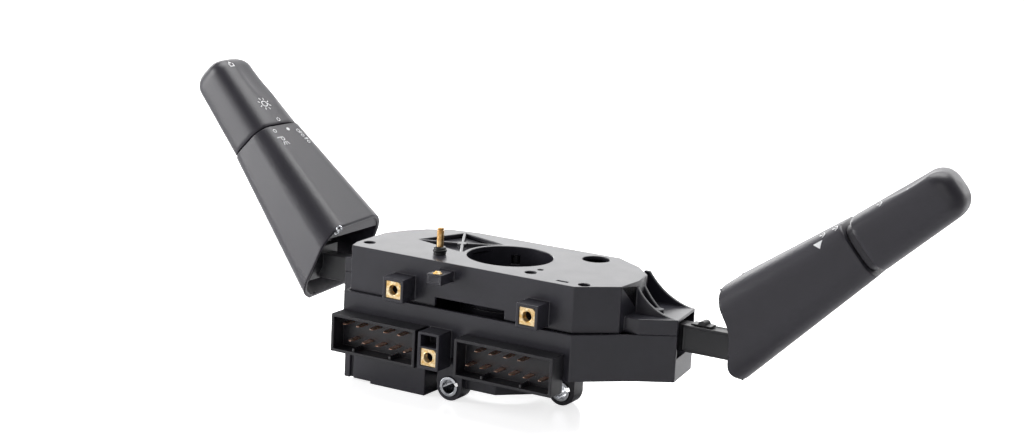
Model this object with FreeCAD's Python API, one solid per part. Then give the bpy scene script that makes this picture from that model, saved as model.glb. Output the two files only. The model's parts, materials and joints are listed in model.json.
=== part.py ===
import FreeCAD, Part
import math
import os

# Combination stalk switch of a steering column, in millimetres.
# Origin: centre of the column bore in the top face. +Z points at the steering wheel,
# -Y is the side with the plug sockets, -X the lighting stalk, +X the wiper stalk.

V = FreeCAD.Vector

# Housing
BORE_R = 22.0            # passage for the steering column
WALL = 2.2               # moulded wall
FRONT_Y = -34.2          # front wall of the upper shell
BACK_Y = 35.0
PARTING_Z = -23.4        # seam between the two shells
FLOOR_Z = -47.0          # underside of the lower shell
FOOT_Z = -70.5           # the plane that the part stands on
FRONT_STEP = 2.5         # the lower shell stands this far in front of the upper one
TUBE_WALL = 2.2          # wall of the bore tube

# Sleeves that the two lever arms come out of
SLEEVE_END_X = 97.6
SLEEVE_FRONT_Y = -3.8
SLEEVE_BACK_Y = 24.0
SLEEVE_TOP_Z = -15.6
SLEEVE_SKEW = 4.2        # the rear corner of the mouth lies this much nearer the bore
SLEEVE_WALL = 1.6
MOUTH_BOTTOM_Z = -35.6

# Top face features
SCREW_HOLE_R = 3.0
SCREW_HOLES = ((-70.0, -23.0), (25.1, -22.9), (57.3, -27.1))
LOCATING_HOLE_R = 7.0
LOCATING_HOLE = (36.5, 24.0)
GAUGE_HOLE_R = 1.5
GAUGE_HOLE = (26.1, -14.9)
KEY_SLOT = (45.9, -28.2, 6.0, 1.8)
POCKET_DEPTH = 2.3
POCKET_FLOOR = 1.8
POCKET_RIB = 1.5
POCKET_CORNERS = ((-55.2, 0.3), (-44.5, 28.8), (-15.5, 19.6), (-23.6, -9.0))
POCKET_HUB = (-33.5, 8.5)
POCKET_HUB_R = 2.6

# Horn contact pin
HORN_X, HORN_Y = -29.2, -20.5
HORN_R = 1.8
HORN_TIP_Z = 13.7
HORN_TRAVEL = 3.0
COLLAR_R = 3.2
COLLAR_H = 4.0
HORN_FLANGE_Z = -6.0
HORN_TUBE_END_Z = -20.0

# Cowl nuts and their bosses
NUT_SIDE = 8.7
NUT_THICK = 3.2
NUT_THREAD_R = 2.5
NUT_INSET = 0.6
BOSS_SIDE = 12.2
BOSS_REACH = 11.2
BOSS_X = (-40.5, 36.5)
BOSS_Z = -16.0
CENTRE_BOSS_X = -16.6
CENTRE_BOSS_Z = -46.0
CENTRE_BOSS_REACH = 11.5

# Slot above the seam and the little terminal socket
SLOT_X0, SLOT_X1 = -22.4, 17.6
SLOT_H = 4.6
SOCKET_X0, SOCKET_X1 = -20.4, -12.0
SOCKET_Z0, SOCKET_Z1 = -9.0, -3.6
SOCKET_REACH = 12.0
SOCKET_WALL = 1.0

# Plug sockets
PLUG_TOP_Z = -33.3
PLUG_BOTTOM_Z = -53.0
PLUG_REACH = 11.3
PLUG_WALL = 1.6
PLUG_BASE = 2.4
PLUG_LEFT_X = (-75.0, -24.6)
PLUG_RIGHT_X = (-1.8, 53.6)
BLADE_W, BLADE_T = 2.8, 0.8
BLADE_RECESS = 1.6
BLADE_ROOT = 5.0
BLADE_PITCH = 8.2
ROW_TOP_Z, ROW_BOTTOM_Z = -38.2, -46.2
LEFT_TOP_X, LEFT_TOP_N = -68.2, 5
LEFT_BOTTOM_X, LEFT_BOTTOM_N = -64.4, 5
RIGHT_TOP_X, RIGHT_TOP_N = 9.8, 4
RIGHT_BOTTOM_X, RIGHT_BOTTOM_N = 5.0, 6

# Underside
HUB_R = 30.0             # across-flats radius of the octagonal hub round the bore
HUB_Z = -64.0
FOOT_X0, FOOT_X1 = -74.7, -25.8
FOOT_BACK_Y = 16.0
LUG_R = 7.4
LUG_BORE_R = 5.05
LUG_LENGTH = 10.0
LUGS = ((-12.0, -34.0), (36.0, -5.0))
BUSH_WALL = 1.5
BUSH_SLIT = 2.0
BUSH_FIT = 0.02

# Lever mechanism
PIVOT_X = 66.0
LEFT_ARM_Y = 9.6
RIGHT_ARM_Y = 5.7
ARM_W = 9.0
ARM_TOP_Z = -18.6
ARM_BOTTOM_Z = -32.0
PITCH_X = 88.0
TANG_W = 4.0
TANG_TOP_Z = -21.0
TANG_BOTTOM_Z = -29.4
CHEEK_GAP = 0.25
PIN_R = 2.5
PITCH_PIN_R = 2.0
PIN_CLEAR = 0.05
CARRIER_TOP_Z = -17.6
CARRIER_BOTTOM_Z = -35.2
CARRIER_R = 9.0
THRUST_GAP = 0.3         # play between a carrier and the bosses above and below it
PITCH_Z = -25.2
PLUNGER_R = 2.0
PLUNGER_OUT = 13.2       # reach of the plunger tip from the pivot
TRACK_GAP = 0.3
TRACK_THICK = 3.0
TRACK_HALF = 8.0
SLIDER_TOP_Z = -38.4
SLIDER_H = 3.4
PEG_R = 1.6
PEG_ARM = 16.0
BOARD_T = 1.4

# Cancelling pawl, set back just behind the wall of the bore
PAWL_ANGLE = 112.0
PAWL_W = 4.0
PAWL_TOP_Z, PAWL_BOTTOM_Z = -5.0, -9.0
PAWL_SET_BACK = 0.15
PAWL_LENGTH = 7.0
PAWL_SPRING = 5.4
PAWL_PLAY = 0.2

# Screws between the two shells
SHELL_SCREWS = ((34.0, -27.0), (50.0, 22.5), (-30.0, 29.5), (-59.5, 22.5))
SCREW_POST_R = 3.6
SCREW_SHANK_R = 1.5
SCREW_HEAD_R, SCREW_HEAD_H = 3.2, 2.0
SCREW_BITE = 8.0         # length of thread in the upper shell

# Stalks
BASE_RUN = -38.0         # the lever body starts this far behind its base point before it is cut
LEVER_LEN = 87.0
TIP_LEN = 139.0
LEVER_WALL = 2.0
BASE_HALF_H, BASE_HALF_W = 22.6, 27.8
RING_HALF_H, RING_HALF_W = 14.9, 18.0
TIP_HALF_H, TIP_HALF_W = 12.3, 14.0
CORNER_SHARE = 0.62      # corner radius of the section as a share of its half height
LEFT_BASE = (-111.4, 22.4, -27.6)
LEFT_SWEEP, LEFT_RISE = 4.9, 43.8
RIGHT_BASE = (112.4, 24.4, -25.2)
RIGHT_SWEEP, RIGHT_RISE = 7.1, 39.7
CUT_LOW = (125.0, -41.0)
CUT_HIGH = (108.0, -3.0)
LEFT_SEAM = 0.5
RIGHT_SEAM = 4.0
KNOB_GAP = 0.5           # between a lever's end face and the turning knob
NECK_INSET = 2.5         # the right knob's neck is this much thinner all round
SPIGOT_R = 6.0
SPIGOT_CLEAR = 0.1
END_WALL = 4.0
ROD_R = 2.2
ROD_START = 34.0


def box(x0, x1, y0, y1, z0, z1):
    """Box between two corners."""
    return Part.makeBox(abs(x1 - x0), abs(y1 - y0), abs(z1 - z0), V(min(x0, x1), min(y0, y1), min(z0, z1)))


def rod(radius, start, end):
    """Round bar between two points."""
    a, b = V(*start), V(*end)
    return Part.makeCylinder(radius, (b - a).Length, a, b - a)


def tube(outer, inner, start, end):
    return rod(outer, start, end).cut(rod(inner, start, end))


def prism(points, z0, z1):
    """Upright prism on a plan outline."""
    loop = [V(x, y, z0) for x, y in points]
    face = Part.Face(Part.makePolygon(loop + loop[:1]))
    return face.extrude(V(0, 0, z1 - z0))


def inset(points, distance, z0, z1):
    """Upright prism on a plan outline that is moved inwards."""
    loop = [V(x, y, z0) for x, y in points]
    face = Part.Face(Part.makePolygon(loop + loop[:1]))
    return face.makeOffset2D(-distance, join=2).extrude(V(0, 0, z1 - z0))


def plate_xz(points, y0, y1):
    """Prism along Y on an outline given as x and z."""
    loop = [V(x, y0, z) for x, z in points]
    face = Part.Face(Part.makePolygon(loop + loop[:1]))
    return face.extrude(V(0, y1 - y0, 0))


def join(first, *others):
    """Fuse solids into one and drop the seams between them."""
    return first.fuse(list(others)).removeSplitter()


def drop(first, *others):
    return first.cut(list(others))


def mirrored(shape):
    return shape.mirror(V(0, 0, 0), V(1, 0, 0))


def save(name, *solids):
    shape = solids[0] if len(solids) == 1 else Part.makeCompound(list(solids))
    shape.exportStep("parts/" + name + ".step")


# Housing shells

def upper_outline():
    """Plan of the top plate: blunt rounded ends and a chamfered front right corner."""
    return ((-73.2, FRONT_Y), (55.6, FRONT_Y), (73.4, -18.8), (74.4, -1.7), (71.5, 12.5), (61.0, 24.4),
            (44.8, BACK_Y), (-39.5, BACK_Y), (-54.0, 32.0), (-65.0, 23.7), (-72.0, 13.3), (-76.6, 1.7),
            (-75.7, -26.8))


def lower_outline():
    """Plan of the lower shell, which stands in front of the upper one."""
    front = FRONT_Y - FRONT_STEP
    return ((-75.6, front), (57.0, front), (81.5, -14.5), (74.4, -1.7), (71.5, 12.5), (61.0, 24.4),
            (44.8, BACK_Y), (-39.5, BACK_Y), (-54.0, 32.0), (-65.0, 23.7), (-72.0, 13.3), (-76.6, 1.7),
            (-76.6, -26.8))


def sleeve_outline():
    """Plan of the right sleeve, from inside the housing to its mouth."""
    return ((62.0, -14.5), (81.5, -14.5), (SLEEVE_END_X, SLEEVE_FRONT_Y),
            (SLEEVE_END_X - SLEEVE_SKEW, SLEEVE_BACK_Y), (60.0, SLEEVE_BACK_Y))


def left_sleeve_outline():
    return tuple((-x, y) for x, y in reversed(((62.0, SLEEVE_FRONT_Y), (SLEEVE_END_X, SLEEVE_FRONT_Y),
                                               (SLEEVE_END_X - SLEEVE_SKEW, SLEEVE_BACK_Y),
                                               (60.0, SLEEVE_BACK_Y))))


def mouth_cut(side):
    """Way out of a sleeve for the lever arm, and the room behind it."""
    y0 = SLEEVE_FRONT_Y + SLEEVE_WALL
    y1 = SLEEVE_BACK_Y - SLEEVE_WALL
    top = SLEEVE_TOP_Z - SLEEVE_WALL
    return box(side * 58.0, side * (SLEEVE_END_X + 1), y0, y1, MOUTH_BOTTOM_Z, top)


def gusset(x0, x1, y0, y1, sag):
    """Web with a hollow curved edge from the top plate down to the sleeve."""
    a = V(x0, y0, -0.6)
    b = V(x1, y0, SLEEVE_TOP_Z)
    mid = V(x0 + (x1 - x0) * 0.32, y0, SLEEVE_TOP_Z * sag)
    arc = Part.Arc(a, mid, b).toShape()
    corner = V(x0 - 3, y0, SLEEVE_TOP_Z)
    top = V(x0 - 3, y0, -0.6)
    wire = Part.Wire([arc, Part.LineSegment(b, corner).toShape(), Part.LineSegment(corner, top).toShape(),
                      Part.LineSegment(top, a).toShape()])
    return Part.Face(wire).extrude(V(0, y1 - y0, 0))


def nut_boss(x, z, front, reach):
    half = BOSS_SIDE / 2
    return box(x - half, x + half, front - reach, front + 1, z - half, z + half)


def nut_pocket(x, z, face_y):
    """Square pocket for a cowl nut, with a clear hole behind it for the screw end."""
    half = NUT_SIDE / 2
    seat = box(x - half, x + half, face_y - 1, face_y + NUT_INSET + NUT_THICK, z - half, z + half)
    return seat.fuse(rod(NUT_THREAD_R + 0.3, (x, face_y, z), (x, face_y + 9.0, z)))


def pocket_cut():
    """Ribbed weight-saving pocket beside the bore: four triangles round a hub."""
    cells = prism(POCKET_CORNERS, -POCKET_DEPTH, 1)
    ring = rod(BORE_R + TUBE_WALL, (0, 0, -POCKET_DEPTH - 1), (0, 0, 2))
    hub = rod(POCKET_HUB_R, (POCKET_HUB[0], POCKET_HUB[1], -POCKET_DEPTH), (POCKET_HUB[0], POCKET_HUB[1], 1))
    keep = [ring, hub]
    for x, y in POCKET_CORNERS:
        run = math.hypot(x - POCKET_HUB[0], y - POCKET_HUB[1]) + 1
        rib = Part.makeBox(run, POCKET_RIB, POCKET_DEPTH + 1, V(0, -POCKET_RIB / 2, -POCKET_DEPTH))
        rib.rotate(V(0, 0, 0), V(0, 0, 1), math.degrees(math.atan2(y - POCKET_HUB[1], x - POCKET_HUB[0])))
        rib.translate(V(POCKET_HUB[0], POCKET_HUB[1], 0))
        keep.append(rib)
    return drop(cells, *keep)


def pivot_bosses(z0, z1):
    """Seats for the two upright pivot pins."""
    return [tube(PIN_R + 2.2, PIN_R, (side * PIVOT_X, y, z0), (side * PIVOT_X, y, z1))
            for side, y in ((-1, LEFT_ARM_Y), (1, RIGHT_ARM_Y))]


def upper_housing():
    shell = prism(upper_outline(), PARTING_Z, 0)
    sleeves = [prism(sleeve_outline(), PARTING_Z, SLEEVE_TOP_Z),
               prism(left_sleeve_outline(), PARTING_Z, SLEEVE_TOP_Z)]
    bosses = [nut_boss(x, BOSS_Z, FRONT_Y, BOSS_REACH) for x in BOSS_X]
    webs = [gusset(73.0, SLEEVE_END_X - 1, SLEEVE_FRONT_Y, SLEEVE_FRONT_Y + 2, 0.62),
            gusset(68.0, SLEEVE_END_X - 5, SLEEVE_BACK_Y - 2.4, SLEEVE_BACK_Y - 0.4, 0.55),
            gusset(70.0, 82.0, 8.0, 10.0, 0.45),
            mirrored(gusset(74.0, SLEEVE_END_X - 1, SLEEVE_FRONT_Y, SLEEVE_FRONT_Y + 2, 0.62)),
            mirrored(gusset(68.0, SLEEVE_END_X - 5, SLEEVE_BACK_Y - 2.4, SLEEVE_BACK_Y - 0.4, 0.55))]
    socket = box(SOCKET_X0, SOCKET_X1, FRONT_Y - SOCKET_REACH, FRONT_Y + 1, SOCKET_Z0, SOCKET_Z1)
    cap = rod(2.6, (83.5, 3.0, SLEEVE_TOP_Z - 1), (83.5, 3.0, SLEEVE_TOP_Z + 2.2))
    body = join(shell, socket, cap, *(sleeves + bosses + webs))
    room = inset(upper_outline(), WALL, PARTING_Z - 1, -WALL)
    room = drop(room, rod(BORE_R + TUBE_WALL, (0, 0, PARTING_Z - 2), (0, 0, 1)))
    room = drop(room, prism(POCKET_CORNERS, -POCKET_DEPTH - POCKET_FLOOR, 1))
    body = drop(body, room, mouth_cut(1), mouth_cut(-1))
    body = drop(body, rod(BORE_R, (0, 0, PARTING_Z - 1), (0, 0, 1)), pocket_cut())
    holes = [rod(SCREW_HOLE_R, (x, y, -WALL - 1), (x, y, 1)) for x, y in SCREW_HOLES]
    holes.append(rod(LOCATING_HOLE_R, LOCATING_HOLE + (-WALL - 1,), LOCATING_HOLE + (1,)))
    holes.append(rod(GAUGE_HOLE_R, GAUGE_HOLE + (-WALL - 1,), GAUGE_HOLE + (1,)))
    kx, ky, kl, kw = KEY_SLOT
    holes.append(box(kx - kl / 2, kx + kl / 2, ky - kw / 2, ky + kw / 2, -WALL - 1, 1))
    holes.append(rod(COLLAR_R, (HORN_X, HORN_Y, -WALL - 1), (HORN_X, HORN_Y, 1)))
    holes.append(box(SLOT_X0, SLOT_X1, FRONT_Y - 1, FRONT_Y + WALL + 1, PARTING_Z - 1, PARTING_Z + SLOT_H))
    holes.append(box(SOCKET_X0 + SOCKET_WALL, SOCKET_X1 - SOCKET_WALL, FRONT_Y - SOCKET_REACH - 1,
                     FRONT_Y + WALL + 1, SOCKET_Z0 + SOCKET_WALL, SOCKET_Z1 - SOCKET_WALL))
    holes += [nut_pocket(x, BOSS_Z, FRONT_Y - BOSS_REACH) for x in BOSS_X]
    body = drop(body, *holes)
    return join(body, *pivot_bosses(CARRIER_TOP_Z + THRUST_GAP, -WALL))


def octagon(across, z0, z1):
    corner = across / math.cos(math.pi / 8)
    points = [(corner * math.cos(math.pi / 8 + i * math.pi / 4), corner * math.sin(math.pi / 8 + i * math.pi / 4))
              for i in range(8)]
    return prism(points, z0, z1)


def foot_block():
    """Hanging casing under the left half, with a groove near its corner and a stepped sole."""
    front = FRONT_Y - FRONT_STEP + 1.5
    block = box(FOOT_X0, FOOT_X1, front, FOOT_BACK_Y, FOOT_Z, FLOOR_Z)
    step = box(FOOT_X0 - 1, FOOT_X0 + 16, front - 1, FOOT_BACK_Y + 1, FOOT_Z - 1, FOOT_Z + 1.2)
    groove = box(FOOT_X0 + 3.4, FOOT_X0 + 5.6, front - 1, front + 1.6, FOOT_Z - 1, FLOOR_Z - 6.0)
    hollow = box(FOOT_X0 + WALL, FOOT_X1 - WALL, front + WALL, FOOT_BACK_Y - WALL, FOOT_Z + WALL + 1.2, FLOOR_Z + 1)
    return drop(block, step, groove), hollow


def lug(x, y):
    """Fixing lug: a round eye along Y on a web under the hub."""
    z = FOOT_Z + LUG_R
    eye = rod(LUG_R, (x, y, z), (x, y + LUG_LENGTH, z))
    web = box(x - LUG_R, x + LUG_R, y, y + LUG_LENGTH, z, FLOOR_Z + 0.5)
    return eye.fuse(web)


def lower_housing():
    front = FRONT_Y - FRONT_STEP
    shell = join(prism(lower_outline(), FLOOR_Z, PARTING_Z), prism(sleeve_outline(), FLOOR_Z, PARTING_Z),
                 prism(left_sleeve_outline(), MOUTH_BOTTOM_Z - 3, PARTING_Z))
    block, hollow = foot_block()
    hub = octagon(HUB_R, HUB_Z, FLOOR_Z + 1)
    boss = nut_boss(CENTRE_BOSS_X, CENTRE_BOSS_Z, front, CENTRE_BOSS_REACH)
    bridge = box(CENTRE_BOSS_X - BOSS_SIDE / 2, CENTRE_BOSS_X + BOSS_SIDE / 2, front - CENTRE_BOSS_REACH,
                 front + 1, CENTRE_BOSS_Z, PLUG_TOP_Z)
    window = box(CENTRE_BOSS_X - 4.5, CENTRE_BOSS_X + 4.5, front - CENTRE_BOSS_REACH - 1,
                 front - 2.5, CENTRE_BOSS_Z + NUT_SIDE / 2 + 1.2, PLUG_TOP_Z - 1.4)
    body = join(shell, block, hub, boss, bridge, *[lug(x, y) for x, y in LUGS])
    room = inset(lower_outline(), WALL, FLOOR_Z + WALL, PARTING_Z + 1)
    room = drop(room, rod(BORE_R + TUBE_WALL, (0, 0, FLOOR_Z), (0, 0, PARTING_Z + 2)))
    cuts = [room, hollow, window, mouth_cut(1), mouth_cut(-1), nut_pocket(CENTRE_BOSS_X, CENTRE_BOSS_Z,
                                                                         front - CENTRE_BOSS_REACH)]
    cuts.append(rod(BORE_R, (0, 0, FOOT_Z - 1), (0, 0, PARTING_Z + 1)))
    eye_z = FOOT_Z + LUG_R
    cuts += [rod(LUG_BORE_R, (x, y - 1, eye_z), (x, y + LUG_LENGTH + 1, eye_z)) for x, y in LUGS]
    for x0, count, z in blade_rows():
        for i in range(count):
            x = x0 + i * BLADE_PITCH
            if z > FLOOR_Z + WALL:
                cuts.append(box(x - BLADE_W / 2 - 0.3, x + BLADE_W / 2 + 0.3, front - 1, front + WALL + 1,
                                z - BLADE_T / 2 - 0.3, z + BLADE_T / 2 + 0.3))
    body = drop(body, *cuts)
    return join(body, *pivot_bosses(FLOOR_Z + WALL, CARRIER_BOTTOM_Z - THRUST_GAP))


def blade_rows():
    return ((LEFT_TOP_X, LEFT_TOP_N, ROW_TOP_Z), (LEFT_BOTTOM_X, LEFT_BOTTOM_N, ROW_BOTTOM_Z),
            (RIGHT_TOP_X, RIGHT_TOP_N, ROW_TOP_Z), (RIGHT_BOTTOM_X, RIGHT_BOTTOM_N, ROW_BOTTOM_Z))


def plug_socket(x0, x1, rows):
    """Shrouded socket with a base that carries the blades and two keying ribs."""
    front = FRONT_Y - FRONT_STEP
    outer = box(x0, x1, front - PLUG_REACH, front, PLUG_BOTTOM_Z, PLUG_TOP_Z)
    inner = box(x0 + PLUG_WALL, x1 - PLUG_WALL, front - PLUG_REACH - 1, front - PLUG_BASE,
                PLUG_BOTTOM_Z + PLUG_WALL, PLUG_TOP_Z - PLUG_WALL)
    shroud = drop(outer, inner)
    mid = (x0 + x1) / 2
    ribs = [box(mid + offset - 0.7, mid + offset + 0.7, front - PLUG_REACH + 1, front,
                PLUG_BOTTOM_Z + 0.5, PLUG_BOTTOM_Z + PLUG_WALL + 1.6) for offset in (-12.0, 10.0)]
    shroud = join(shroud, *ribs)
    return drop(shroud, *[blade(x, z, 0.0) for x, z in rows])


def blade(x, z, recess):
    front = FRONT_Y - FRONT_STEP
    return box(x - BLADE_W / 2, x + BLADE_W / 2, front - PLUG_REACH + recess, front + BLADE_ROOT,
               z - BLADE_T / 2, z + BLADE_T / 2)


def row_places(rows):
    return [(x0 + i * BLADE_PITCH, z) for x0, count, z in rows for i in range(count)]


def tapered_blades(places):
    """Tin-plated blades; the bottom rows stop inside the socket base."""
    blades = []
    for x, z in places:
        shape = blade(x, z, BLADE_RECESS)
        if z < FLOOR_Z + WALL:
            shape = drop(shape, box(x - 5, x + 5, FRONT_Y - FRONT_STEP, FRONT_Y + 20, z - 5, z + 5))
        blades.append(shape)
    return blades


def cowl_nuts():
    """Three square brass nuts with one clipped corner."""
    front = FRONT_Y - FRONT_STEP
    seats = [(x, BOSS_Z, FRONT_Y - BOSS_REACH) for x in BOSS_X]
    seats.append((CENTRE_BOSS_X, CENTRE_BOSS_Z, front - CENTRE_BOSS_REACH))
    nuts = []
    for x, z, face in seats:
        half = NUT_SIDE / 2
        y0 = face + NUT_INSET
        block = box(x - half, x + half, y0, y0 + NUT_THICK, z - half, z + half)
        clip = plate_xz(((x + half - 1.4, z + half), (x + half, z + half), (x + half, z + half - 1.4)),
                        y0, y0 + NUT_THICK)
        nuts.append(drop(block, clip, rod(NUT_THREAD_R, (x, y0 - 1, z), (x, y0 + NUT_THICK + 1, z))))
    return nuts


def lug_bushes():
    """Split spring bushes in the two fixing lugs."""
    z = FOOT_Z + LUG_R
    outer = LUG_BORE_R
    bushes = []
    for x, y in LUGS:
        ring = tube(outer, outer - BUSH_WALL, (x, y - 0.8, z), (x, y + LUG_LENGTH, z))
        slit = box(x, x + outer + 1, y - 1, y + LUG_LENGTH + 1, z - BUSH_SLIT / 2, z + BUSH_SLIT / 2)
        slit.rotate(V(x, y, z), V(0, 1, 0), -20)
        bushes.append(drop(ring, slit))
    return bushes


# Horn contact

def horn_guide():
    """Black guide sleeve: a collar on the plate and a spring cup under it."""
    x, y = HORN_X, HORN_Y
    collar = rod(COLLAR_R, (x, y, -WALL), (x, y, COLLAR_H))
    collar = collar.makeFillet(0.9, [e for e in collar.Edges if e.BoundBox.ZMin > COLLAR_H - 0.1])
    cup = rod(COLLAR_R + 1.4, (x, y, HORN_TUBE_END_Z), (x, y, -WALL))
    neck = rod(HORN_R + PIN_CLEAR, (x, y, HORN_FLANGE_Z - 1), (x, y, COLLAR_H + 1))
    well = rod(COLLAR_R + 0.2, (x, y, HORN_TUBE_END_Z + 1.2), (x, y, HORN_FLANGE_Z + 0.1))
    return drop(join(collar, cup), neck, well)


def horn_pin():
    x, y = HORN_X, HORN_Y
    shaft = rod(HORN_R, (x, y, HORN_FLANGE_Z - 1.8), (x, y, HORN_TIP_Z - 1.4))
    neck = rod(HORN_R - 0.5, (x, y, HORN_TIP_Z - 1.5), (x, y, HORN_TIP_Z - 0.9))
    head = rod(HORN_R - 0.2, (x, y, HORN_TIP_Z - 1.0), (x, y, HORN_TIP_Z))
    flange = rod(COLLAR_R, (x, y, HORN_FLANGE_Z - 1.8), (x, y, HORN_FLANGE_Z))
    return join(shaft, neck, head, flange)


def coil(radius, wire, length, turns, start, direction):
    """Coil spring as stacked rings joined by short posts, which keeps its solid light."""
    pitch = (length - 2 * wire) / turns
    helix = Part.makeHelix(pitch, length - 2 * wire, radius)
    profile = Part.Wire(Part.makeCircle(wire, V(radius, 0, 0), V(0, 1, 0)))
    spring = Part.Wire(helix.Edges).makePipeShell([profile], True, True)
    spring.translate(V(0, 0, wire))
    turn = FreeCAD.Rotation(V(0, 0, 1), V(*direction))
    spring.Placement = FreeCAD.Placement(V(*start), turn).multiply(spring.Placement)
    return spring


def horn_spring():
    top = HORN_FLANGE_Z - 1.8
    bottom = HORN_TUBE_END_Z + 1.2
    return coil(2.3, 0.3, top - bottom, 5, (HORN_X, HORN_Y, bottom), (0, 0, 1))


def horn_terminal():
    """Brass spring contact in the little socket, with a nib that shows at its top."""
    mid = (SOCKET_X0 + SOCKET_X1) / 2
    strip = box(mid - 2.2, mid + 2.2, FRONT_Y - SOCKET_REACH + 3, FRONT_Y + 6.0,
                SOCKET_Z0 + SOCKET_WALL, SOCKET_Z0 + SOCKET_WALL + 0.8)
    riser = box(mid - 2.2, mid + 2.2, FRONT_Y + 5.2, FRONT_Y + 6.0, SOCKET_Z0 + SOCKET_WALL, -WALL - 0.3)
    return join(strip, riser)


# Levers

def frame_of(base, sweep, rise, side):
    """Base point, axis, sideways and upward directions of a stalk."""
    s, e = math.radians(sweep), math.radians(rise)
    axis = V(side * math.cos(e) * math.cos(s), math.cos(e) * math.sin(s), math.sin(e))
    across = V(-side * math.sin(s), math.cos(s), 0)
    up = axis.cross(across)
    if up.z < 0:
        up = up * -1
    return V(*base), axis, across, up


def section(frame, s, half_h, half_w):
    """Rounded rectangular section of a stalk at the distance s along it."""
    base, axis, across, up = frame
    c = base + axis * s
    r = CORNER_SHARE * half_h
    q = r * (1 - math.sqrt(0.5))
    w, h = half_w, half_h

    def at(x, y):
        return c + across * x + up * y

    edges = []
    for sx, sy, flip in ((1, 1, False), (-1, 1, True), (-1, -1, False), (1, -1, True)):
        a, m, b = at(sx * w, sy * (h - r)), at(sx * (w - q), sy * (h - q)), at(sx * (w - r), sy * h)
        if flip:
            a, b = b, a
        edges.append(Part.Arc(a, m, b).toShape())
        if sx * sy > 0:
            end = at(-sx * (w - r), sy * h)
        else:
            end = at(sx * w, -sy * (h - r))
        edges.append(Part.LineSegment(b, end).toShape())
    return Part.Wire(edges)


def lever_half(s):
    k = s / LEVER_LEN
    return (BASE_HALF_H + (RING_HALF_H - BASE_HALF_H) * k, BASE_HALF_W + (RING_HALF_W - BASE_HALF_W) * k)


def knob_half(s):
    k = (s - LEVER_LEN) / (TIP_LEN - LEVER_LEN)
    return (RING_HALF_H + (TIP_HALF_H - RING_HALF_H) * k, RING_HALF_W + (TIP_HALF_W - RING_HALF_W) * k)


def tapered(frame, s0, s1, size, thinner):
    """Tapered stalk body between two stations, made thinner all round by the given amount."""
    wires = []
    for s in (s0, s1):
        h, w = size(s)
        wires.append(section(frame, s, h - thinner, w - thinner))
    return Part.makeLoft(wires, True, True)


def cut_plane(side, offset):
    """Everything on the housing side of the slanting cut through a lever's base."""
    (x0, z0), (x1, z1) = CUT_LOW, CUT_HIGH
    run = (x1 - x0) / (z1 - z0)
    low, high = -90.0, 60.0
    xs = [x0 + (z - z0) * run + offset for z in (low, high)]
    points = ((side * xs[0], low), (side * xs[1], high), (side * 40.0, high), (side * 40.0, low))
    return plate_xz(points, -60, 110)


def lever_cavity(frame, side, seam):
    inner = tapered(frame, BASE_RUN, LEVER_LEN - seam - END_WALL, lever_half, LEVER_WALL)
    return drop(inner, cut_plane(side, 0))


def lever_shell(frame, side, seam):
    """Hollow tapered lever, open at its base, with a bearing wall for the knob."""
    base, axis, across, up = frame
    end = LEVER_LEN - seam
    outer = drop(tapered(frame, BASE_RUN, end, lever_half, 0), cut_plane(side, 0))
    hole = rod(SPIGOT_R + SPIGOT_CLEAR, base + axis * (end - 8), base + axis * (end + 2))
    return drop(outer, tapered(frame, BASE_RUN - 1, end - END_WALL, lever_half, LEVER_WALL), hole)


def knob(frame, seam):
    """Rotary knob with a domed tip and a shallow thumb scoop on its upper face."""
    base, axis, across, up = frame
    start = LEVER_LEN
    body = tapered(frame, start, TIP_LEN, knob_half, 0)
    dome_r = 19.5
    straight = TIP_LEN - 15.0
    core = rod(dome_r, base + axis * (start - 1), base + axis * straight)
    nose = Part.makeSphere(dome_r, base + axis * straight)
    nose = nose.common(rod(dome_r + 1, base + axis * straight, base + axis * (TIP_LEN + 9)))
    bullet = core.fuse(nose)
    body = body.common(bullet)
    scoop_r = 120.0
    mid = (start + TIP_LEN) / 2 + 4
    h, w = knob_half(mid)
    scoop = Part.makeSphere(scoop_r, base + axis * mid + up * (h + scoop_r - 1.3))
    body = drop(body, scoop)
    spigot = rod(SPIGOT_R, base + axis * (LEVER_LEN - 14), base + axis * (start + 6))
    stem = rod(SPIGOT_R - 1.5, base + axis * (LEVER_LEN - 20), base + axis * (LEVER_LEN - 13))
    whole = join(body, spigot, stem)
    if seam > KNOB_GAP:
        whole = join(whole, tapered(frame, LEVER_LEN - seam + KNOB_GAP, start + 1, lever_half, NECK_INSET))
    return whole


def knob_rod(frame):
    base, axis, across, up = frame
    return rod(ROD_R, base + axis * ROD_START, base + axis * (LEVER_LEN - 20))


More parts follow.
